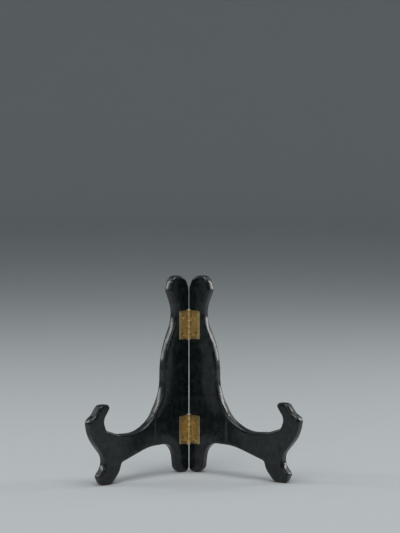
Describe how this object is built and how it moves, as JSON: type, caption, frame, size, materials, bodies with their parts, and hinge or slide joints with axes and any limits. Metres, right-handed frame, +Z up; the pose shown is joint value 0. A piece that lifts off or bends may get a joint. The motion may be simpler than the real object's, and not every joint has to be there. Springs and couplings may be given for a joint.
{
  "type": "plate display stand",
  "caption": "Folding wooden plate stand: mirrored carved side frames with front hooks, joined at the back by brass butt hinges.",
  "frame": {"origin": "on the floor, at the middle of the footprint of the opened stand", "axes": "+Z up, +X to the viewer's right across both side frames, -Y the front, which the plate faces; the hinge axis is parallel to Z at the back"},
  "size_m": [0.1622, 0.069, 0.152],
  "materials": {
    "black_lacquer": "gloss",
    "peg_wood": "satin",
    "hinge_brass": "aged satin",
    "pin_brass": "satin",
    "screw_brass": "satin"
  },
  "bodies": {
    "left_frame": {"left_foot_rail": "black_lacquer", "left_lower_peg": "peg_wood", "left_upper_peg": "peg_wood", "left_upright": "black_lacquer", "lower_hinge_left_leaf": "hinge_brass", "lower_hinge_left_lower_screw": "screw_brass", "lower_hinge_left_upper_screw": "screw_brass", "lower_hinge_pin": "pin_brass", "upper_hinge_left_leaf": "hinge_brass", "upper_hinge_left_lower_screw": "screw_brass", "upper_hinge_left_upper_screw": "screw_brass", "upper_hinge_pin": "pin_brass"},
    "right_frame": {"lower_hinge_right_leaf": "hinge_brass", "lower_hinge_right_lower_screw": "screw_brass", "lower_hinge_right_upper_screw": "screw_brass", "right_foot_rail": "black_lacquer", "right_lower_peg": "peg_wood", "right_upper_peg": "peg_wood", "right_upright": "black_lacquer", "upper_hinge_right_leaf": "hinge_brass", "upper_hinge_right_lower_screw": "screw_brass", "upper_hinge_right_upper_screw": "screw_brass"}
  },
  "joints": [
    {"name": "fold", "type": "hinge", "parent": "left_frame", "child": "right_frame", "pos_m": [0, 0.02893, 0], "axis": [0, 0, 1], "range_deg": [-100, 80]}
  ]
}
